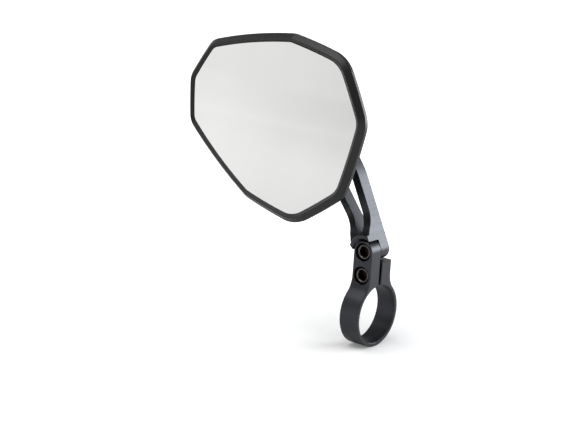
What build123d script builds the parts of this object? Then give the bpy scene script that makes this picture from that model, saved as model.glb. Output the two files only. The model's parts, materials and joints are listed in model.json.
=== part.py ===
from build123d import *
import os
from math import cos, hypot, radians, sin, sqrt, tan

# Bar end mirror. Millimetres. Origin at the centre of the clamp's bore, X along the bar,
# -Y to the front (the glass and the screw heads face it), Z up along the clamp's ears.

# Bar clamp: a split ring with a tall front ear and a short back ear
bore_d = 33.5
ring_wall = 2.25
clamp_w = 12.6
ear_t = 8.7
slit_w = 2.2
ear_root_r = 12.0
pinch_z = 23.0
pivot_z = 36.6
clamp_edge_break = 0.4
hole_edge_break = 0.25

# Socket head screws of the clamp, both of one thread
screw_d = 5.0
screw_head_d = 8.5
screw_head_h = 4.0
socket_d = 6.3
socket_lobe_d = 1.9
socket_lobe_n = 6
socket_core_d = 5.0
socket_h = 3.0
socket_lead_in = 0.35
head_edge_break = 0.4
counterbore_d = 10.3
counterbore_h = 5.5
screw_washer_d = 9.6
screw_washer_t = 0.5
thread_play = 0.05
pivot_play = 0.06
screw_hole_play = 0.25
screw_end_gap = 0.6
screw_point = 0.5

# Friction washer between the front ear and the arm's lug
friction_washer_d = 10.4
friction_washer_t = 0.6

# Arm: a lug behind the front ear, a shoulder around the ear's top, two prongs and a boss
lug_r = 5.9
lug_gap = 0.35
arm_back_y = 7.5
prong_front_y = -1.0
shoulder_gap = 1.1
shoulder_band = 2.4
shoulder_step = 0.9
shoulder_end_angle = 168.0
shoulder_tip_angle = 180.0
foot_out = 1.6
foot_h = 3.4
right_lean = 26.3
right_run = 44.5
right_bend_r = 45.0
fork_lean = 38.5
right_prong_w = 5.0
left_prong_w = 4.1
boss_r = 10.0
sweep_lean = 20.0
sweep_under_band = 7.3
sweep_run = 20.5
slot_root_gap = 0.8
slot_root_r = 1.2
slot_top_gap = 1.6
slot_top_r = 3.0
slot_bend_r = 30.0
arm_edge_break = 0.4

# Ball stud and its nut
ball_r = 6.0
neck_r = 3.0
stud_d = 6.0
stud_play = 0.1
stud_flange_r = 4.4
stud_flange_t = 1.5
stud_end = 1.0
stud_point = 0.6
neck_reach = 9.9
nut_af = 10.0
nut_h = 5.0
nut_edge_break = 0.6
nut_washer_d = 12.0
nut_washer_t = 1.2
nut_recess_d = 14.0
nut_recess_h = 3.5

# Ball seats, their socket and the retainer that closes it from the front
seat_t = 1.14
seat_fit = 0.07
socket_fit = 0.1
seat_split = 0.3
seat_mouth_angle = 52.0
socket_mouth_angle = 54.0
socket_rear = 5.5
socket_rear_r = 10.0
socket_root_r = 14.0
socket_front = 5.4
retainer_d = 26.0
retainer_t = 2.8
retainer_screw_n = 3
retainer_screw_d = 2.5
retainer_screw_head_d = 4.7
retainer_screw_head_h = 1.4
retainer_screw_len = 6.0
retainer_drive_af = 1.5
retainer_drive_h = 0.9

# Head: nine-sided outline, mirrored about the axis from its left corner to its right edge.
# Corner places on the upper half, in the plane of the glass, from the head's middle.
left_corner_u = -62.8
upper_left_u = -54.9
upper_left_v = 21.9
upper_mid_u = -2.4
upper_mid_v = 44.7
upper_right_u = 32.7
upper_right_v = 45.0
right_u = 55.5
right_v = 19.7
edge_bow_r = 305.0
left_corner_r = 6.0
upper_left_r = 6.0
upper_mid_r = 6.0
upper_right_r = 16.0
right_r = 11.0
smallest_corner_r = 2.5

# Glass and what it is bonded to, all bent to one sphere
glass_curve_r = 1200.0
glass_crown = 1.3
glass_t = 2.0
pad_t = 0.8
pad_inset = 1.5
backing_t = 1.4
glass_gap = 0.25

# Housing: rim around the glass, sloped in from a ridge and bevelled out from it, and a faceted shell behind
rim_lip = 1.15
rim_lip_w = 1.6
rim_lip_drop = 1.05
rim_ridge_w = 0.4
rim_w = 4.9
rim_drop = 1.8
rim_side_h = 2.5
rim_side_inset = 0.1
shell_knee_inset = 5.0
shell_knee = 8.4
shell_back_inset = 15.0
shell_back = 10.4
lip_round = 0.35
rim_round = 0.6
side_round = 0.7
shell_round = 3.0
shell_wall = 2.0
ledge_w = 2.6
pocket_over = 3.0

# Where the head sits: its middle, and how its glass is turned
head_x = -59.0
head_y = -24.0
head_z = 103.6
head_tilt = 4.1
head_turn = -13.3
ball_u = 17.0

# How far a cutter runs past what it cuts, and how near two faces count as one place or one way
overshoot = 1.0
same_place = 0.001
same_way = 0.999

# Values that several pieces share
bore_r = bore_d / 2
ring_r = bore_r + ring_wall
ear_y = slit_w / 2 + ear_t
ear_round_r = clamp_w / 2
back_ear_top = pivot_z - lug_r - lug_gap
lug_front_y = -slit_w / 2 + friction_washer_t
counterbore_y = -ear_y + counterbore_h
head_seat_y = counterbore_y - screw_washer_t
recess_r = ear_round_r + shoulder_gap
band_r = recess_r + shoulder_band
seat_in_r = ball_r + seat_fit
seat_out_r = seat_in_r + seat_t
pocket_r = seat_out_r + socket_fit
retainer_screw_pitch_r = (pocket_r + retainer_d / 2) / 2
ball_y = prong_front_y - neck_reach
nut_floor_y = arm_back_y - nut_recess_h


def unit(angle):
    """Unit vector at an angle in degrees from +X towards +Z."""
    return Vector(cos(radians(angle)), sin(radians(angle)))


def meet(point_a, along_a, point_b, along_b):
    """Crossing of two lines in a plane, each given by a point and a direction."""
    gap = point_b - point_a
    turn = along_a.X * along_b.Y - along_a.Y * along_b.X
    return point_a + along_a * ((gap.X * along_b.Y - gap.Y * along_b.X) / turn)


def facing_front(y, x=0.0, z=0.0):
    """Plane seen from the front: local x is +X, local y is +Z, and its normal points to -Y."""
    return Plane((x, y, z), x_dir=(1, 0, 0), z_dir=(0, -1, 0))


def rod_y(radius, y_from, y_to, x=0.0, z=0.0):
    """Round bar along Y between two places."""
    return extrude(facing_front(y_to, x, z) * Circle(radius), y_to - y_from)


def hole_mouth_y(radius, y, side, x=0.0, z=0.0):
    """Cutter that breaks the edge of a hole along Y where it opens at y, to the front (-1) or the back (1)."""
    plane = Plane((x, y - side * hole_edge_break, z), x_dir=(1, 0, 0), z_dir=(0, side, 0))
    wide = radius + hole_edge_break
    slope = Cone(radius, wide, hole_edge_break, align=(Align.CENTER, Align.CENTER, Align.MIN))
    outside = y + side * overshoot
    return plane * slope + rod_y(wide, min(y, outside), max(y, outside), x, z)


def near(shape, point):
    """The vertex of a flat shape that lies nearest to a point."""
    return min(shape.vertices(), key=lambda v: hypot(v.X - point.X, v.Y - point.Y))


def round_corner(shape, point, radius):
    """Round the corner of a flat shape that lies nearest to a point."""
    return fillet(near(shape, point), radius)


def facing_y(body, y):
    """Flat faces of a body that lie in the plane across Y at a given place."""
    flat = body.faces().filter_by(Plane.XZ)
    return [face for face in flat if abs(face.center().Y - y) < same_place]


def outer_edges(faces):
    """Edges that only one of the faces has, so the border of the patch that they make."""
    edges = [edge for face in faces for edge in face.edges()]
    return [edge for edge in edges if sum(edge.is_same(other) for other in edges) == 1]


# Frame of the head: u along its axis of symmetry, v across it, and h out of the glass
tilt = radians(head_tilt)
turn = radians(head_turn)
head_normal = Vector(0, -cos(tilt), sin(tilt))
head_up = Vector(0, sin(tilt), cos(tilt))
head_u = Vector(1, 0, 0) * cos(turn) + head_up * sin(turn)
head_middle = Vector(head_x, head_y, head_z)
on_ball_line = head_middle + head_u * ball_u
ball_h = -(ball_y - on_ball_line.Y) / cos(tilt)
ball = on_ball_line + head_normal * ball_h
head_place = Plane(head_middle, x_dir=head_u, z_dir=head_normal)


def make_clamp():
    """Split ring with two ears, cut from one bar: a YZ profile carried along X."""
    root_z = sqrt(ring_r**2 - ear_y**2)
    profile = Circle(ring_r) + Pos(0, back_ear_top / 2) * Rectangle(2 * ear_y, back_ear_top)
    for side in (-1, 1):
        profile = round_corner(profile, Vector(side * ear_y, root_z), ear_root_r)
    clamp = extrude(Plane.YZ * profile, clamp_w / 2, both=True)
    tall = pivot_z - pinch_z
    ear = Pos(0, -tall / 2) * Rectangle(clamp_w, tall) + Circle(ear_round_r)
    clamp += extrude(facing_front(-slit_w / 2, z=pivot_z) * ear, ear_t)
    clamp -= Rot(0, 90, 0) * Cylinder(bore_r, 2 * clamp_w)
    clamp -= Pos(0, 0, pivot_z / 2) * Box(2 * clamp_w, slit_w, pivot_z)
    ends = clamp.faces().filter_by(Axis.X).group_by(Axis.X)
    clamp = chamfer((ends[0] + ends[-1]).edges(), clamp_edge_break)
    for z in (pivot_z, pinch_z):
        clamp -= rod_y(counterbore_d / 2, -ear_y - overshoot, counterbore_y, z=z)
        clamp -= hole_mouth_y(counterbore_d / 2, -ear_y, -1, z=z)
    clamp -= rod_y(screw_d / 2 + pivot_play, -ear_y, 0, z=pivot_z)
    clamp -= rod_y(screw_d / 2 + screw_hole_play, -ear_y, 0, z=pinch_z)
    clamp -= rod_y(screw_d / 2 + thread_play, 0, ear_y + overshoot, z=pinch_z)
    clamp -= hole_mouth_y(screw_d / 2 + thread_play, ear_y, 1, z=pinch_z)
    return clamp


def socket_star():
    """Six-lobed drive socket outline."""
    star = Circle(socket_core_d / 2)
    for i in range(socket_lobe_n):
        at = unit(360 / socket_lobe_n * i) * (socket_d - socket_lobe_d) / 2
        star += Pos(at.X, at.Y) * Circle(socket_lobe_d / 2)
    return star


def make_cap_screw(end_y, z):
    """Low socket head screw along Y: the head's underside on its washer, the shank to end_y."""
    length = end_y - head_seat_y
    head = Cylinder(screw_head_d / 2, screw_head_h, align=(Align.CENTER, Align.CENTER, Align.MIN))
    head = chamfer(head.edges().group_by(Axis.Z)[-1], head_edge_break)
    shank = Pos(0, 0, -length) * Cylinder(
        screw_d / 2, length, align=(Align.CENTER, Align.CENTER, Align.MIN)
    )
    shank = chamfer(shank.edges().group_by(Axis.Z)[0], screw_point)
    screw = head + shank
    screw -= extrude(Pos(0, 0, screw_head_h) * socket_star(), -socket_h)
    lead_r = socket_d / 2 + socket_lead_in
    screw -= Pos(0, 0, screw_head_h - socket_lead_in) * Cone(
        lead_r - socket_lead_in, lead_r, socket_lead_in, align=(Align.CENTER, Align.CENTER, Align.MIN)
    )
    return facing_front(head_seat_y, z=z) * screw


def make_washer_y(outer_d, inner_d, y_from, y_to, x=0.0, z=0.0):
    """Flat washer along Y."""
    hole = rod_y(inner_d / 2, y_from - overshoot, y_to + overshoot, x, z)
    return rod_y(outer_d / 2, y_from, y_to, x, z) - hole


def is_swept(face, across):
    """Whether a round face is one of the two that carry the arm's front back to the prongs."""
    way = face.axis_of_rotation.direction
    return abs(way.X * across.X + way.Z * across.Y) > same_way


def make_arm():
    """Machined wishbone: lug, shoulder band, swept front and two prongs that meet in a boss."""
    boss = Vector(ball.X, ball.Z - pivot_z)
    across = unit(fork_lean)
    fork = unit(90 + fork_lean)
    right_way = unit(90 + right_lean)
    lug_side = unit(right_lean) * lug_r
    bend = lug_side + right_way * right_run
    boss_right = boss + across * boss_r
    boss_left = boss - across * boss_r
    shoulder_end = unit(shoulder_end_angle) * band_r
    shoulder_tip = unit(shoulder_tip_angle) * recess_r
    foot = shoulder_end + Vector(-foot_out, foot_h)
    corners = [lug_side, bend, boss_right, boss_left, foot, shoulder_end, shoulder_tip, Vector(0, 0)]
    outline = make_face(Polyline(*corners, close=True))
    outline = round_corner(outline, bend, right_bend_r)
    outline += Circle(lug_r)
    outline += Pos(boss.X, boss.Y) * Circle(boss_r)
    arm = extrude(facing_front(arm_back_y, z=pivot_z) * outline, arm_back_y + ear_y)

    # The front sweeps back from the shoulder to the prongs, but for the band round the ear
    shoulder_out = ear_y - shoulder_step
    prong_out = -prong_front_y
    sweep_start = band_r - sweep_under_band
    sweep_end = sweep_start + sweep_run
    middle = ((sweep_start + sweep_end) / 2, (shoulder_out + prong_out) / 2)
    drop = TangentArc((sweep_start, shoulder_out), middle, tangent=(1, 0))
    ease = TangentArc(middle, (sweep_end, prong_out), tangent=drop % 1)
    far = right_run + hypot(boss.X, boss.Y)
    skyline = Polyline(
        (sweep_end, prong_out), (far, prong_out), (far, 2 * ear_y), (-far, 2 * ear_y),
        (-far, shoulder_out), (sweep_start, shoulder_out),
    )
    sweep_way = unit(90 + sweep_lean)
    sweep_across = unit(sweep_lean)
    sweep_plane = Plane(
        (0, 0, pivot_z), x_dir=(sweep_way.X, 0, sweep_way.Y), z_dir=(sweep_across.X, 0, sweep_across.Y)
    )
    front_cut = extrude(sweep_plane * make_face([drop, ease] + skyline.edges()), far, both=True)
    arm -= front_cut - rod_y(band_r, -2 * ear_y, arm_back_y, z=pivot_z)
    arm -= rod_y(recess_r, -ear_y - overshoot, lug_front_y, z=pivot_z)

    # The slot between the prongs
    back_out = arm_back_y + overshoot
    left_way = (boss_left - foot).normalized()
    left_in = foot + Vector(left_way.Y, -left_way.X) * left_prong_w
    upper_way = (boss_right - bend).normalized()
    upper_in = bend - Vector(upper_way.Y, -upper_way.X) * right_prong_w
    lower_in = bend - Vector(right_way.Y, -right_way.X) * right_prong_w
    top = boss - fork * (boss_r + slot_top_gap)
    crotch = meet(left_in, left_way, lower_in, right_way)
    inner_bend = meet(lower_in, right_way, upper_in, upper_way)
    top_right = meet(upper_in, upper_way, top, across)
    top_left = meet(left_in, left_way, top, across)
    slot = make_face(Polyline(crotch, inner_bend, top_right, top_left, close=True))
    slot = round_corner(slot, inner_bend, slot_bend_r)
    slot = round_corner(slot, top_right, slot_top_r)
    slot = round_corner(slot, top_left, slot_top_r)
    root_r = band_r + slot_root_gap
    slot -= Circle(root_r)
    arm -= extrude(facing_front(back_out, z=pivot_z) * slot, back_out + ear_y)
    upright = arm.edges().filter_by(Axis.Y)
    at_root = [e for e in upright if abs(hypot(e.center().X, e.center().Z - pivot_z) - root_r) < same_place]
    arm = fillet(at_root, slot_root_r)

    # Edges broken on the back, on the band and along the swept front
    arm = fillet(outer_edges(facing_y(arm, arm_back_y)), arm_edge_break)
    arm = chamfer(outer_edges(facing_y(arm, -ear_y)), arm_edge_break)
    swept = [face for face in arm.faces().filter_by(GeomType.CYLINDER) if is_swept(face, sweep_across)]
    arm = fillet(outer_edges(facing_y(arm, prong_front_y) + swept), arm_edge_break)

    # Holes for the pivot screw, the ball stud and its nut
    arm -= rod_y(screw_d / 2 + thread_play, -ear_y, back_out, z=pivot_z)
    arm -= rod_y(stud_d / 2 + stud_play, -ear_y, back_out, ball.X, ball.Z)
    arm -= rod_y(nut_recess_d / 2, nut_floor_y, back_out, ball.X, ball.Z)
    arm -= hole_mouth_y(screw_d / 2 + thread_play, arm_back_y, 1, z=pivot_z)
    arm -= hole_mouth_y(nut_recess_d / 2, arm_back_y, 1, ball.X, ball.Z)
    return arm


def make_ball_stud():
    """Ball, neck, seat flange and threaded shank along Y."""
    shank_end = nut_floor_y + nut_washer_t + nut_h + stud_end
    stud = Pos(*ball) * Sphere(ball_r)
    stud += rod_y(neck_r, ball.Y, prong_front_y, ball.X, ball.Z)
    stud += rod_y(stud_flange_r, prong_front_y - stud_flange_t, prong_front_y, ball.X, ball.Z)
    shank = rod_y(stud_d / 2, prong_front_y, shank_end, ball.X, ball.Z)
    return stud + chamfer(shank.edges().group_by(Axis.Y)[-1], stud_point)


def make_stud_nut():
    """Hexagon nut in the boss's recess, its corners turned off."""
    y_from = nut_floor_y + nut_washer_t
    corner_r = nut_af / sqrt(3)
    nut = extrude(facing_front(y_from + nut_h, ball.X, ball.Z) * RegularPolygon(corner_r, 6), nut_h)
    turned = chamfer(rod_y(corner_r, y_from, y_from + nut_h, ball.X, ball.Z).edges(), nut_edge_break)
    nut &= turned
    nut_end = y_from + nut_h + overshoot
    return nut - rod_y(stud_d / 2 + thread_play, y_from - overshoot, nut_end, ball.X, ball.Z)


# Corners of the head's outline, in order round it, with the rounding of each
upper_corners = [
    (upper_left_u, upper_left_v, upper_left_r),
    (upper_mid_u, upper_mid_v, upper_mid_r),
    (upper_right_u, upper_right_v, upper_right_r),
    (right_u, right_v, right_r),
]
lower_corners = [(u, -v, r) for u, v, r in reversed(upper_corners)]
head_corners = [(left_corner_u, 0.0, left_corner_r)] + upper_corners + lower_corners


def outline(grow, h):
    """Outline of the head moved out by grow: bowed edges between rounded corners, at height h."""
    points = [Vector(u, v) for u, v, r in head_corners]
    count = len(points)
    ways = [(points[(i + 1) % count] - points[i]).normalized() for i in range(count)]
    outs = [Vector(-way.Y, way.X) for way in ways]
    moved = [points[i] + outs[i] * grow for i in range(count)]
    corners = [meet(moved[i - 1], ways[i - 1], moved[i], ways[i]) for i in range(count)]
    edges = []
    for i in range(count):
        start = corners[i]
        end = corners[(i + 1) % count]
        bow = (end - start).length ** 2 / (8 * edge_bow_r)
        edges.append(ThreePointArc(start, (start + end) / 2 + outs[i] * bow, end))
    face = make_face(edges)
    for corner, (u, v, radius) in zip(corners, head_corners):
        face = round_corner(face, corner, max(radius + grow, smallest_corner_r))
    return Pos(0, 0, h) * face


def lofted(levels):
    """Faceted body through outlines given as (grow, h)."""
    return loft([outline(grow, h) for grow, h in levels], ruled=True)


def level_edges(body, h):
    """Edges of a body whose two ends lie at height h."""
    ends = [(edge, edge @ 0, edge @ 1) for edge in body.edges()]
    return [edge for edge, a, b in ends if abs(a.Z - h) < same_place and abs(b.Z - h) < same_place]


def glass_sphere(depth):
    """Ball of the glass's curve, its top below the glass's crown by depth, its poles off the glass."""
    return Pos(0, 0, glass_crown - glass_curve_r) * Rot(0, 90, 0) * Sphere(glass_curve_r - depth)


def bent_sheet(grow, front, back):
    """Sheet of the head's outline, bent to the glass's curve, between two depths."""
    edge_h = glass_crown - glass_curve_r + sqrt((glass_curve_r - back) ** 2 - left_corner_u**2)
    low = edge_h - overshoot
    block = extrude(outline(grow, low), glass_crown + overshoot - low)
    return block & (glass_sphere(front) - glass_sphere(back))


def at_ball(shape):
    """Set a shape, made about the ball's centre in the head's frame, in its place there."""
    return Pos(ball_u, 0, ball_h) * shape


def mouth(angle):
    """Cone from the ball's centre to the rear that leaves room for the neck."""
    reach = 2 * pocket_r
    cone = Cone(reach * tan(radians(angle)), 0, reach, align=(Align.CENTER, Align.CENTER, Align.MIN))
    return Pos(0, 0, -reach) * cone


def retainer_screw_places():
    """Places of the retainer's screws about the ball's axis."""
    step = 360 / retainer_screw_n
    return [unit(90 + step * i) * retainer_screw_pitch_r for i in range(retainer_screw_n)]


def make_housing():
    """Moulded shell: ridged rim, ledge for the glass, faceted back and the ball's socket."""
    rim_h = -rim_drop
    side_h = rim_h - rim_side_h
    side = rim_w - rim_side_inset
    levels = [
        (glass_gap + rim_lip_w + rim_ridge_w, rim_lip),
        (rim_w, rim_h),
        (side, side_h),
        (-shell_knee_inset, -shell_knee),
        (-shell_back_inset, -shell_back),
    ]
    rounds = [lip_round, rim_round, side_round, shell_round, shell_round]
    shell = lofted(levels)
    reach = 1 + overshoot / rim_lip_drop
    shell -= lofted([
        (glass_gap, rim_lip - rim_lip_drop),
        (glass_gap + rim_lip_w * reach, rim_lip + overshoot),
    ])
    for (grow, h), radius in zip(levels, rounds):
        shell = fillet(level_edges(shell, h), radius)
    slope = (shell_knee + side_h) / (side + shell_knee_inset)
    ledge_h = side_h - slope * (side + ledge_w) + shell_wall
    inside = [
        (-ledge_w, ledge_h),
        (-shell_knee_inset, shell_wall - shell_knee),
        (-shell_back_inset, shell_wall - shell_back),
    ]
    hollow = lofted(inside) + extrude(outline(-ledge_w, ledge_h), pocket_over - ledge_h)
    stack = glass_t + pad_t + backing_t
    pocket = extrude(outline(glass_gap, ledge_h), pocket_over - ledge_h) - glass_sphere(stack)
    shell -= hollow
    shell -= pocket

    # Socket for the ball: a cone outside, a plain round boss inside
    rear = Cone(
        socket_rear_r, socket_root_r, socket_rear - ball_h - shell_back + shell_wall,
        align=(Align.CENTER, Align.CENTER, Align.MIN),
    )
    boss = Pos(0, 0, -ball_h - shell_back) * Cylinder(
        retainer_d / 2, socket_front + ball_h + shell_back, align=(Align.CENTER, Align.CENTER, Align.MIN)
    )
    shell += at_ball(Pos(0, 0, -socket_rear) * rear + boss)
    throat = Cylinder(pocket_r, 2 * socket_front, align=(Align.CENTER, Align.CENTER, Align.MIN))
    shell -= at_ball(Sphere(pocket_r) + throat + mouth(socket_mouth_angle))
    for at in retainer_screw_places():
        depth = retainer_screw_len - retainer_t + screw_end_gap
        hole = Cylinder(retainer_screw_d / 2 + thread_play, 2 * depth)
        shell -= at_ball(Pos(at.X, at.Y, socket_front) * hole)
    return head_place * shell


def make_seat(front):
    """One half of the ball's spherical liner."""
    shell = Sphere(seat_out_r) - Sphere(seat_in_r)
    block = Box(4 * seat_out_r, 4 * seat_out_r, 2 * seat_out_r)
    away = seat_out_r + seat_split / 2
    if front:
        half = shell & Pos(0, 0, away) * block
    else:
        half = (shell & Pos(0, 0, -away) * block) - mouth(seat_mouth_angle)
    return head_place * at_ball(half)


def make_retainer():
    """Round plate that closes the socket and bears on the front seat."""
    plate = Pos(0, 0, socket_front) * Cylinder(
        retainer_d / 2, retainer_t, align=(Align.CENTER, Align.CENTER, Align.MIN)
    )
    plate -= Sphere(pocket_r)
    for at in retainer_screw_places():
        plate -= Pos(at.X, at.Y, socket_front) * Cylinder(
            retainer_screw_d / 2 + screw_hole_play, 3 * retainer_t
        )
        plate -= Pos(at.X, at.Y, socket_front + retainer_t) * countersink(screw_hole_play)
    return head_place * at_ball(plate)


def countersink(play):
    """Cone of a countersunk head, top at zero, grown by play."""
    return Pos(0, 0, -retainer_screw_head_h) * Cone(
        retainer_screw_d / 2 + play, retainer_screw_head_d / 2 + play, retainer_screw_head_h,
        align=(Align.CENTER, Align.CENTER, Align.MIN),
    )


def make_retainer_screws():
    """Countersunk screws that hold the retainer, one solid each."""
    shank = Pos(0, 0, -retainer_screw_len) * Cylinder(
        retainer_screw_d / 2, retainer_screw_len, align=(Align.CENTER, Align.CENTER, Align.MIN)
    )
    drive = extrude(RegularPolygon(retainer_drive_af / sqrt(3), 6), -retainer_drive_h)
    screw = shank + countersink(0) - drive
    top = socket_front + retainer_t
    placed = [head_place * at_ball(Pos(at.X, at.Y, top) * screw) for at in retainer_screw_places()]
    return Compound(children=placed)


pieces = {
    "bar_clamp": make_clamp(),
    "pinch_screw": make_cap_screw(ear_y - screw_end_gap, pinch_z),
    "pinch_washer": make_washer_y(
        screw_washer_d, screw_d + 2 * screw_hole_play, head_seat_y, counterbore_y, z=pinch_z
    ),
    "pivot_screw": make_cap_screw(arm_back_y - screw_end_gap, pivot_z),
    "pivot_spring_washer": make_washer_y(
        screw_washer_d, screw_d + 2 * screw_hole_play, head_seat_y, counterbore_y, z=pivot_z
    ),
    "pivot_friction_washer": make_washer_y(
        friction_washer_d, screw_d + 2 * screw_hole_play, -slit_w / 2, lug_front_y, z=pivot_z
    ),
    "mirror_arm": make_arm(),
    "ball_stud": make_ball_stud(),
    "stud_washer": make_washer_y(
        nut_washer_d, stud_d + 2 * screw_hole_play, nut_floor_y, nut_floor_y + nut_washer_t, ball.X, ball.Z
    ),
    "stud_nut": make_stud_nut(),
    "rear_ball_seat": make_seat(front=False),
    "front_ball_seat": make_seat(front=True),
    "seat_retainer": make_retainer(),
    "retainer_screws": make_retainer_screws(),
    "mirror_housing": make_housing(),
    "glass_backing": head_place * bent_sheet(0.0, glass_t + pad_t, glass_t + pad_t + backing_t),
    "glass_pad": head_place * bent_sheet(-pad_inset, glass_t, glass_t + pad_t),
    "mirror_glass": head_place * bent_sheet(0.0, 0.0, glass_t),
}

os.makedirs("parts", exist_ok=True)
for name, piece in pieces.items():
    export_step(piece, f"parts/{name}.step")
print("ball centre", [round(c, 3) for c in ball], "ball_h", round(ball_h, 3))
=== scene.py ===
import json
from math import cos, pi, radians, sin

import bpy
from mathutils import Matrix, Vector


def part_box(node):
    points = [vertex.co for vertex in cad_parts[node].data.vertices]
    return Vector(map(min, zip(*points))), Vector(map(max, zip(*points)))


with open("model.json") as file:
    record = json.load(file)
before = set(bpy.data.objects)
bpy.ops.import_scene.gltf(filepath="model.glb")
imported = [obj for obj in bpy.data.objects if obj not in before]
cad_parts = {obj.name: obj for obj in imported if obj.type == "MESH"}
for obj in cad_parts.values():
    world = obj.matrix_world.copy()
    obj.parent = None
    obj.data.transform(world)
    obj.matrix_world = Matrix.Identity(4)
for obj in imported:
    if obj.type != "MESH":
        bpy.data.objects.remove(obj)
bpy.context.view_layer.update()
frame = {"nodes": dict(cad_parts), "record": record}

MM = 0.001

# Camera: where it looks from, and how far, about the clamp's bore
VIEW_AZIMUTH = radians(38.792)
VIEW_ELEVATION = radians(13.987)
VIEW_ROLL = radians(3.5)
CAMERA_PLACE = Vector((439.352, -626.699, 243.800)) * MM
LENS = 89.19
SENSOR = 36.0

# Floor: the ring rests on it
FLOOR_SIZE = 12.0
FLOOR_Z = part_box("bar_clamp")[0][2]

# Light that the floor adds of its own for the lens, from close to the ring to further out, in metres
LIFT_NEAR = 0.15
LIFT_FAR = 0.9
LIFT_FROM = 0.015
LIFT_TO = 0.25

# Light that the floor adds in reflections, in the same way
MIRRORED_NEAR = 0.0
MIRRORED_FAR = 0.65
MIRRORED_FROM = 0.1
MIRRORED_TO = 1.8

# Reflections are brighter to the left: where along X that starts and ends, and the shares of floor and wall
BRIGHT_SIDE = -0.74
DIM_SIDE = -0.5
BRIGHT_SHARE = 1.12
DIM_SHARE = 0.82
WALL_BRIGHT_SHARE = 1.05
WALL_DIM_SHARE = 0.93

# World: its level for plain light, and the wall's in reflections, from low down to overhead
FILL = 0.35
HORIZON = 0.93
OVERHEAD = 0.25
WALL_LOW = 0.05
WALL_HIGH = 0.5

# Lamps: the place that they face
LAMP_AIM = Vector((-30, -10, 70)) * MM

# Drive sockets of the clamp's screws: where the painted shade in them ends
SOCKET_R = 3.2 * MM
SOCKET_DEEP = 3.2 * MM
SHADE_FADE_IN = 0.2 * MM
SHADE_FADE_OUT = 0.15 * MM


def linear(code):
    """Linear colour from an sRGB hex code."""
    parts = [int(code[i:i + 2], 16) / 255 for i in (1, 3, 5)]
    return [p / 12.92 if p <= 0.04045 else ((p + 0.055) / 1.055) ** 2.4 for p in parts] + [1.0]


def add(tree, kind, settings=None, sockets=None):
    """Add a node of a kind, with its settings, and each socket given a value or linked to an output."""
    node = tree.nodes.new(kind)
    for name, value in (settings or {}).items():
        setattr(node, name, value)
    for name, value in (sockets or {}).items():
        if isinstance(value, bpy.types.NodeSocket):
            tree.links.new(value, node.inputs[name])
        else:
            node.inputs[name].default_value = value
    return node


def new_material(name):
    """Empty node material and its tree."""
    material = bpy.data.materials.new(name)
    material.use_nodes = True
    material.node_tree.nodes.clear()
    return material, material.node_tree


def anodised_aluminium():
    """Aluminium, milled, bead blasted and anodised dark grey: a soft metal sheen.

    It looks darker where it faces nothing bright, and the dye varies a little over 14 mm.
    Blasting leaves a fine even grit. It is drawn at 0.6 mm, coarser than the real 0.1 mm, so that it shows.
    The cutter's lines run round the bar's axis, 0.5 mm apart, and survive the blasting as faint streaks.
    """
    material, tree = new_material("anodised_aluminium_blasted")
    place = add(tree, "ShaderNodeTexCoord").outputs["Object"]
    grit = add(tree, "ShaderNodeTexNoise", {}, {"Vector": place, "Scale": 1 / (0.6 * MM), "Detail": 2.0})
    lined = add(tree, "ShaderNodeMapping", {}, {
        "Vector": place, "Scale": (1 / (0.5 * MM), 1 / (30 * MM), 1 / (30 * MM)),
    })
    lines = add(tree, "ShaderNodeTexNoise", {}, {
        "Vector": lined.outputs[0], "Scale": 1.0, "Detail": 2.0,
    })
    cloud = add(tree, "ShaderNodeTexNoise", {}, {"Vector": place, "Scale": 1 / (14 * MM), "Detail": 3.0})
    colour = add(tree, "ShaderNodeMix", {"data_type": "RGBA"}, {
        "Factor": cloud.outputs["Fac"], 6: linear("#3b3c3f"), 7: linear("#45464a"),
    })
    streaks = add(tree, "ShaderNodeMapRange", {}, {
        "Value": lines.outputs["Fac"], "To Min": 0.32, "To Max": 0.46,
    })
    height = add(tree, "ShaderNodeMath", {"operation": "ADD"}, {
        0: grit.outputs["Fac"], 1: lines.outputs["Fac"],
    })
    bump = add(tree, "ShaderNodeBump", {}, {
        "Height": height.outputs[0], "Strength": 0.3, "Distance": 0.05 * MM,
    })
    surface = add(tree, "ShaderNodeBsdfPrincipled", {}, {
        "Base Color": colour.outputs[2], "Metallic": 1.0, "Roughness": streaks.outputs[0],
        "Normal": bump.outputs["Normal"],
    })
    add(tree, "ShaderNodeOutputMaterial", {}, {"Surface": surface.outputs[0]})
    return material


def moulded_nylon():
    """Glass-filled nylon, moulded in a spark-eroded tool: satin black with a fine pebbled grain.

    The grain is 0.6 mm, coarser than the real one, so that it shows. The black drifts a little over 20 mm.
    """
    material, tree = new_material("moulded_nylon_black")
    place = add(tree, "ShaderNodeTexCoord").outputs["Object"]
    grain = add(tree, "ShaderNodeTexNoise", {}, {
        "Vector": place, "Scale": 1 / (0.6 * MM), "Detail": 2.0,
    })
    cloud = add(tree, "ShaderNodeTexNoise", {}, {"Vector": place, "Scale": 1 / (20 * MM), "Detail": 2.0})
    colour = add(tree, "ShaderNodeMix", {"data_type": "RGBA"}, {
        "Factor": cloud.outputs["Fac"], 6: linear("#0c0c0c"), 7: linear("#121212"),
    })
    rough = add(tree, "ShaderNodeMapRange", {}, {
        "Value": grain.outputs["Fac"], "To Min": 0.32, "To Max": 0.44,
    })
    bump = add(tree, "ShaderNodeBump", {}, {
        "Height": grain.outputs["Fac"], "Strength": 0.3, "Distance": 0.05 * MM,
    })
    surface = add(tree, "ShaderNodeBsdfPrincipled", {}, {
        "Base Color": colour.outputs[2], "Roughness": rough.outputs[0], "Specular IOR Level": 0.4,
        "Normal": bump.outputs["Normal"],
    })
    add(tree, "ShaderNodeOutputMaterial", {}, {"Surface": surface.outputs[0]})
    return material


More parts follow.
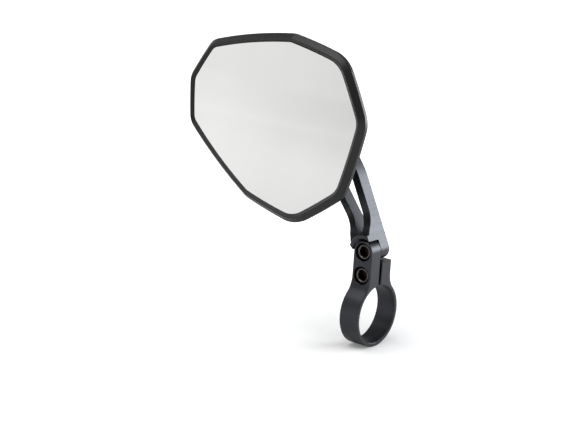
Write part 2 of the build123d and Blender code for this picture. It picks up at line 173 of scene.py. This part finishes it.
def black_oxide_steel(name, axis_z, face_y):
    """Alloy steel screw along Y, blackened in hot salts: grey-brown metal with an oily sheen.

    It is cloudy over 1.5 mm. The drive socket is painted nearly black as painted shade, inside SOCKET_R
    of the screw's axis and behind its face. Fine lines from the die run round the head, 0.4 mm apart.
    """
    material, tree = new_material(name)
    place = add(tree, "ShaderNodeTexCoord").outputs["Object"]
    centred = add(tree, "ShaderNodeMapping", {}, {
        "Vector": place, "Location": (0, 0, -axis_z), "Scale": (1, 0, 1),
    })
    out = add(tree, "ShaderNodeVectorMath", {"operation": "LENGTH"}, {0: centred.outputs[0]})
    cloud = add(tree, "ShaderNodeTexNoise", {}, {
        "Vector": place, "Scale": 1 / (1.5 * MM), "Detail": 3.0,
    })
    bare = add(tree, "ShaderNodeMix", {"data_type": "RGBA"}, {
        "Factor": cloud.outputs["Fac"], 6: linear("#5a5754"), 7: linear("#6e6a66"),
    })
    # Painted shade: the colour goes near black within SOCKET_R of the screw's axis
    open_face = add(tree, "ShaderNodeMapRange", {"interpolation_type": "SMOOTHSTEP"}, {
        "Value": out.outputs["Value"],
        "From Min": SOCKET_R - SHADE_FADE_IN, "From Max": SOCKET_R + SHADE_FADE_OUT,
    })
    depth = add(tree, "ShaderNodeSeparateXYZ", {}, {"Vector": place}).outputs["Y"]
    shank = add(tree, "ShaderNodeMath", {"operation": "GREATER_THAN"}, {
        0: depth, 1: face_y + SOCKET_DEEP,
    })
    unshaded_metal = add(tree, "ShaderNodeMath", {"operation": "MAXIMUM"}, {
        0: open_face.outputs[0], 1: shank.outputs[0],
    })
    # Painted shade in the drive socket: near black there, bare metal outside it and past its depth
    colour = add(tree, "ShaderNodeMix", {"data_type": "RGBA"}, {
        "Factor": unshaded_metal.outputs[0], 6: linear("#1d1816"), 7: bare.outputs[2],
    })
    turned = add(tree, "ShaderNodeMath", {"operation": "MULTIPLY"}, {
        0: out.outputs["Value"], 1: 2 * pi / (0.4 * MM),
    })
    lines = add(tree, "ShaderNodeMath", {"operation": "SINE"}, {0: turned.outputs[0]})
    rough = add(tree, "ShaderNodeMapRange", {}, {
        "Value": cloud.outputs["Fac"], "To Min": 0.24, "To Max": 0.4,
    })
    bump = add(tree, "ShaderNodeBump", {}, {
        "Height": lines.outputs[0], "Strength": 0.1, "Distance": 0.02 * MM,
    })
    surface = add(tree, "ShaderNodeBsdfPrincipled", {}, {
        "Base Color": colour.outputs[2], "Metallic": 1.0, "Roughness": rough.outputs[0],
        "Normal": bump.outputs["Normal"],
    })
    add(tree, "ShaderNodeOutputMaterial", {}, {"Surface": surface.outputs[0]})
    return material


def plated_steel():
    """Steel, zinc plated and passivated: bright grey, faintly cloudy over 3 mm."""
    material, tree = new_material("zinc_plated_steel")
    place = add(tree, "ShaderNodeTexCoord").outputs["Object"]
    cloud = add(tree, "ShaderNodeTexNoise", {}, {"Vector": place, "Scale": 1 / (3 * MM), "Detail": 3.0})
    colour = add(tree, "ShaderNodeMix", {"data_type": "RGBA"}, {
        "Factor": cloud.outputs["Fac"], 6: linear("#8d8f91"), 7: linear("#a6a8a9"),
    })
    rough = add(tree, "ShaderNodeMapRange", {}, {
        "Value": cloud.outputs["Fac"], "To Min": 0.22, "To Max": 0.36,
    })
    surface = add(tree, "ShaderNodeBsdfPrincipled", {}, {
        "Base Color": colour.outputs[2], "Metallic": 1.0, "Roughness": rough.outputs[0],
    })
    add(tree, "ShaderNodeOutputMaterial", {}, {"Surface": surface.outputs[0]})
    return material


def spring_steel():
    """Spring steel, hardened and tempered: grey with a straw tint that drifts over 2 mm."""
    material, tree = new_material("spring_steel_tempered")
    place = add(tree, "ShaderNodeTexCoord").outputs["Object"]
    cloud = add(tree, "ShaderNodeTexNoise", {}, {"Vector": place, "Scale": 1 / (2 * MM), "Detail": 3.0})
    colour = add(tree, "ShaderNodeMix", {"data_type": "RGBA"}, {
        "Factor": cloud.outputs["Fac"], 6: linear("#6a6864"), 7: linear("#807c74"),
    })
    rough = add(tree, "ShaderNodeMapRange", {}, {
        "Value": cloud.outputs["Fac"], "To Min": 0.28, "To Max": 0.42,
    })
    surface = add(tree, "ShaderNodeBsdfPrincipled", {}, {
        "Base Color": colour.outputs[2], "Metallic": 1.0, "Roughness": rough.outputs[0],
    })
    add(tree, "ShaderNodeOutputMaterial", {}, {"Surface": surface.outputs[0]})
    return material


def nylon_liner():
    """Natural nylon, turned: waxy off-white with faint lines from the tool, 0.4 mm apart."""
    material, tree = new_material("nylon_natural_turned")
    place = add(tree, "ShaderNodeTexCoord").outputs["Object"]
    lined = add(tree, "ShaderNodeMapping", {}, {
        "Vector": place, "Scale": (1 / (9 * MM), 1 / (0.4 * MM), 1 / (9 * MM)),
    })
    lines = add(tree, "ShaderNodeTexNoise", {}, {
        "Vector": lined.outputs[0], "Scale": 1.0, "Detail": 2.0,
    })
    colour = add(tree, "ShaderNodeMix", {"data_type": "RGBA"}, {
        "Factor": lines.outputs["Fac"], 6: linear("#d8d5cb"), 7: linear("#e8e5dc"),
    })
    rough = add(tree, "ShaderNodeMapRange", {}, {
        "Value": lines.outputs["Fac"], "To Min": 0.36, "To Max": 0.5,
    })
    surface = add(tree, "ShaderNodeBsdfPrincipled", {}, {
        "Base Color": colour.outputs[2], "Roughness": rough.outputs[0],
    })
    add(tree, "ShaderNodeOutputMaterial", {}, {"Surface": surface.outputs[0]})
    return material


def backing_sheet():
    """ABS sheet, vacuum formed: matt black with a fine haircell grain, 0.8 mm."""
    material, tree = new_material("abs_sheet_black")
    place = add(tree, "ShaderNodeTexCoord").outputs["Object"]
    grain = add(tree, "ShaderNodeTexVoronoi", {}, {"Vector": place, "Scale": 1 / (0.8 * MM)})
    colour = add(tree, "ShaderNodeMix", {"data_type": "RGBA"}, {
        "Factor": grain.outputs["Distance"], 6: linear("#141414"), 7: linear("#202020"),
    })
    bump = add(tree, "ShaderNodeBump", {}, {
        "Height": grain.outputs["Distance"], "Strength": 0.2, "Distance": 0.05 * MM,
    })
    surface = add(tree, "ShaderNodeBsdfPrincipled", {}, {
        "Base Color": colour.outputs[2], "Roughness": 0.6, "Normal": bump.outputs["Normal"],
    })
    add(tree, "ShaderNodeOutputMaterial", {}, {"Surface": surface.outputs[0]})
    return material


def foam_pad():
    """Closed-cell foam tape, cut: dull black with open pores, 0.6 mm."""
    material, tree = new_material("foam_tape_black")
    place = add(tree, "ShaderNodeTexCoord").outputs["Object"]
    pores = add(tree, "ShaderNodeTexVoronoi", {}, {"Vector": place, "Scale": 1 / (0.6 * MM)})
    colour = add(tree, "ShaderNodeMix", {"data_type": "RGBA"}, {
        "Factor": pores.outputs["Distance"], 6: linear("#0c0c0c"), 7: linear("#1e1e1e"),
    })
    bump = add(tree, "ShaderNodeBump", {}, {
        "Height": pores.outputs["Distance"], "Strength": 0.4, "Distance": 0.1 * MM,
    })
    surface = add(tree, "ShaderNodeBsdfPrincipled", {}, {
        "Base Color": colour.outputs[2], "Roughness": 0.9, "Normal": bump.outputs["Normal"],
    })
    add(tree, "ShaderNodeOutputMaterial", {}, {"Surface": surface.outputs[0]})
    return material


def silvered_glass():
    """Float glass, bent and silvered: a clear mirror with the faintest haze where it was wiped."""
    material, tree = new_material("silvered_glass_convex")
    place = add(tree, "ShaderNodeTexCoord").outputs["Object"]
    haze = add(tree, "ShaderNodeTexNoise", {}, {"Vector": place, "Scale": 1 / (45 * MM), "Detail": 2.0})
    colour = add(tree, "ShaderNodeMix", {"data_type": "RGBA"}, {
        "Factor": haze.outputs["Fac"], 6: linear("#e2e2e1"), 7: linear("#ebebea"),
    })
    rough = add(tree, "ShaderNodeMapRange", {}, {
        "Value": haze.outputs["Fac"], "To Min": 0.02, "To Max": 0.07,
    })
    surface = add(tree, "ShaderNodeBsdfPrincipled", {}, {
        "Base Color": colour.outputs[2], "Metallic": 1.0, "Roughness": rough.outputs[0],
    })
    add(tree, "ShaderNodeOutputMaterial", {}, {"Surface": surface.outputs[0]})
    return material


def white_floor():
    """Matt white floor. Away from the part it is full white, and close to it, it keeps the part's shadow."""
    material, tree = new_material("studio_floor_white")
    rays = add(tree, "ShaderNodeLightPath").outputs
    place = add(tree, "ShaderNodeTexCoord").outputs["Object"]
    away = add(tree, "ShaderNodeVectorMath", {"operation": "LENGTH"}, {0: place})
    lift = add(tree, "ShaderNodeMapRange", {}, {
        "Value": away.outputs["Value"], "From Min": LIFT_FROM, "From Max": LIFT_TO,
        "To Min": LIFT_NEAR, "To Max": LIFT_FAR,
    })
    mirrored_lift = add(tree, "ShaderNodeMapRange", {}, {
        "Value": away.outputs["Value"], "From Min": MIRRORED_FROM, "From Max": MIRRORED_TO,
        "To Min": MIRRORED_NEAR, "To Max": MIRRORED_FAR,
    })
    way = add(tree, "ShaderNodeVectorMath", {"operation": "NORMALIZE"}, {0: place})
    side = add(tree, "ShaderNodeSeparateXYZ", {}, {"Vector": way.outputs[0]}).outputs["X"]
    share = add(tree, "ShaderNodeMapRange", {}, {
        "Value": side, "From Min": BRIGHT_SIDE, "From Max": DIM_SIDE,
        "To Min": BRIGHT_SHARE, "To Max": DIM_SHARE,
    })
    shared_lift = add(tree, "ShaderNodeMath", {"operation": "MULTIPLY"}, {
        0: mirrored_lift.outputs[0], 1: share.outputs[0],
    })
    mirrored = add(tree, "ShaderNodeMath", {"operation": "MAXIMUM"}, {
        0: rays["Is Glossy Ray"], 1: rays["Is Transmission Ray"],
    })
    to_mirrors = add(tree, "ShaderNodeMath", {"operation": "MULTIPLY"}, {
        0: mirrored.outputs[0], 1: shared_lift.outputs[0],
    })
    level = add(tree, "ShaderNodeMath", {"operation": "MULTIPLY_ADD"}, {
        0: rays["Is Camera Ray"], 1: lift.outputs[0], 2: to_mirrors.outputs[0],
    })
    glow = add(tree, "ShaderNodeEmission", {}, {
        "Color": linear("#ffffff"), "Strength": level.outputs[0],
    })
    matt = add(tree, "ShaderNodeBsdfDiffuse", {}, {"Color": linear("#e6e6e6")})
    both = add(tree, "ShaderNodeAddShader", {}, {0: glow.outputs[0], 1: matt.outputs[0]})
    add(tree, "ShaderNodeOutputMaterial", {}, {"Surface": both.outputs[0]})
    return material


# Finishes of the pieces, by the record's slots
finishes = {
    "anodised_aluminium": anodised_aluminium(),
    "black_oxide_steel": black_oxide_steel("black_oxide_steel", 0.0, 0.0),
    "spring_steel": spring_steel(),
    "plated_steel": plated_steel(),
    "nylon_liner": nylon_liner(),
    "moulded_nylon": moulded_nylon(),
    "backing_plastic": backing_sheet(),
    "foam_rubber": foam_pad(),
    "silvered_glass": silvered_glass(),
}
for entry in frame["record"]["subparts"]:
    piece = frame["nodes"][entry["node"]]
    for slot in piece.material_slots:
        slot.material = finishes[entry["material_slot"]]
# Each clamp screw gets its own copy, so that the painted shade sits in its own drive socket
for node in ("pivot_screw", "pinch_screw"):
    low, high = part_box(node)
    finish = black_oxide_steel("black_oxide_" + node, (low[2] + high[2]) / 2, low[1])
    frame["nodes"][node].material_slots[0].material = finish


def softbox(name, aim, azimuth, elevation, distance, width, height, radiance, tint):
    """Area lamp that faces aim from a direction; its power gives the radiance asked for."""
    lamp = bpy.data.lights.new(name, "AREA")
    lamp.shape = "RECTANGLE"
    lamp.size = width
    lamp.size_y = height
    lamp.energy = radiance * pi * width * height
    lamp.color = linear(tint)[:3]
    holder = bpy.data.objects.new(name, lamp)
    across = cos(radians(elevation))
    away = Vector((
        across * sin(radians(azimuth)), -across * cos(radians(azimuth)), sin(radians(elevation)),
    ))
    holder.location = aim + away * distance
    holder.rotation_euler = away.to_track_quat("Z", "Y").to_euler()
    holder.visible_camera = False
    bpy.context.scene.collection.objects.link(holder)


# Key from behind the right for the arm's side, a broad one overhead, and a weak one from the left for the rim
softbox(
    "key_softbox", LAMP_AIM, azimuth=134, elevation=12.5, distance=1.0,
    width=1.2, height=0.48, radiance=8.6, tint="#f7fafc",
)
softbox(
    "top_softbox", LAMP_AIM, azimuth=-25, elevation=66, distance=1.1,
    width=0.9, height=0.9, radiance=3.0, tint="#ffffff",
)
softbox(
    "left_softbox", LAMP_AIM, azimuth=-75, elevation=25, distance=1.4,
    width=1.0, height=0.8, radiance=0.9, tint="#ffffff",
)

# Floor
size = FLOOR_SIZE / 2
sides = ((-size, -size), (size, -size), (size, size), (-size, size))
corners = [(x, y, FLOOR_Z) for x, y in sides]
floor_mesh = bpy.data.meshes.new("floor")
floor_mesh.from_pydata(corners, [], [(0, 1, 2, 3)])
floor_mesh.materials.append(white_floor())
floor = bpy.data.objects.new("floor", floor_mesh)
bpy.context.scene.collection.objects.link(floor)

# World: white to the lens and low down in reflections, dimmer overhead, and a softer fill for all else
world = bpy.data.worlds.new("studio")
bpy.context.scene.world = world
world.use_nodes = True
tree = world.node_tree
tree.nodes.clear()
rays = add(tree, "ShaderNodeLightPath").outputs
way = add(tree, "ShaderNodeTexCoord").outputs["Generated"]
parts = add(tree, "ShaderNodeSeparateXYZ", {}, {"Vector": way}).outputs
wall = add(tree, "ShaderNodeMapRange", {"interpolation_type": "SMOOTHSTEP"}, {
    "Value": parts["Z"], "From Min": WALL_LOW, "From Max": WALL_HIGH,
    "To Min": HORIZON, "To Max": OVERHEAD,
})
share = add(tree, "ShaderNodeMapRange", {}, {
    "Value": parts["X"], "From Min": BRIGHT_SIDE, "From Max": DIM_SIDE,
    "To Min": WALL_BRIGHT_SHARE, "To Max": WALL_DIM_SHARE,
})
wall = add(tree, "ShaderNodeMath", {"operation": "MULTIPLY"}, {0: wall.outputs[0], 1: share.outputs[0]})
mirrored = add(tree, "ShaderNodeMath", {"operation": "MAXIMUM"}, {
    0: rays["Is Glossy Ray"], 1: rays["Is Transmission Ray"],
})
level = add(tree, "ShaderNodeMix", {}, {0: mirrored.outputs[0], 2: FILL, 3: wall.outputs[0]})
level = add(tree, "ShaderNodeMix", {}, {0: rays["Is Camera Ray"], 2: level.outputs[0], 3: 1.0})
sky = add(tree, "ShaderNodeBackground", {}, {"Color": linear("#ffffff"), "Strength": level.outputs[0]})
add(tree, "ShaderNodeOutputWorld", {}, {"Surface": sky.outputs[0]})

# Camera
right = Vector((cos(VIEW_AZIMUTH), sin(VIEW_AZIMUTH), 0))
level_back = Vector((sin(VIEW_AZIMUTH), -cos(VIEW_AZIMUTH), 0))
back = level_back * cos(VIEW_ELEVATION) + Vector((0, 0, sin(VIEW_ELEVATION)))
up = back.cross(right)
rolled_right = right * cos(VIEW_ROLL) + up * sin(VIEW_ROLL)
rolled_up = up * cos(VIEW_ROLL) - right * sin(VIEW_ROLL)
lens = bpy.data.cameras.new("camera")
lens.lens = LENS
lens.sensor_width = SENSOR
lens.sensor_fit = "HORIZONTAL"
camera = bpy.data.objects.new("camera", lens)
axes = Matrix((rolled_right, rolled_up, back)).transposed().to_4x4()
camera.matrix_world = Matrix.Translation(CAMERA_PLACE) @ axes
bpy.context.scene.collection.objects.link(camera)
bpy.context.scene.camera = camera
bpy.context.scene.view_settings.view_transform = "Standard"
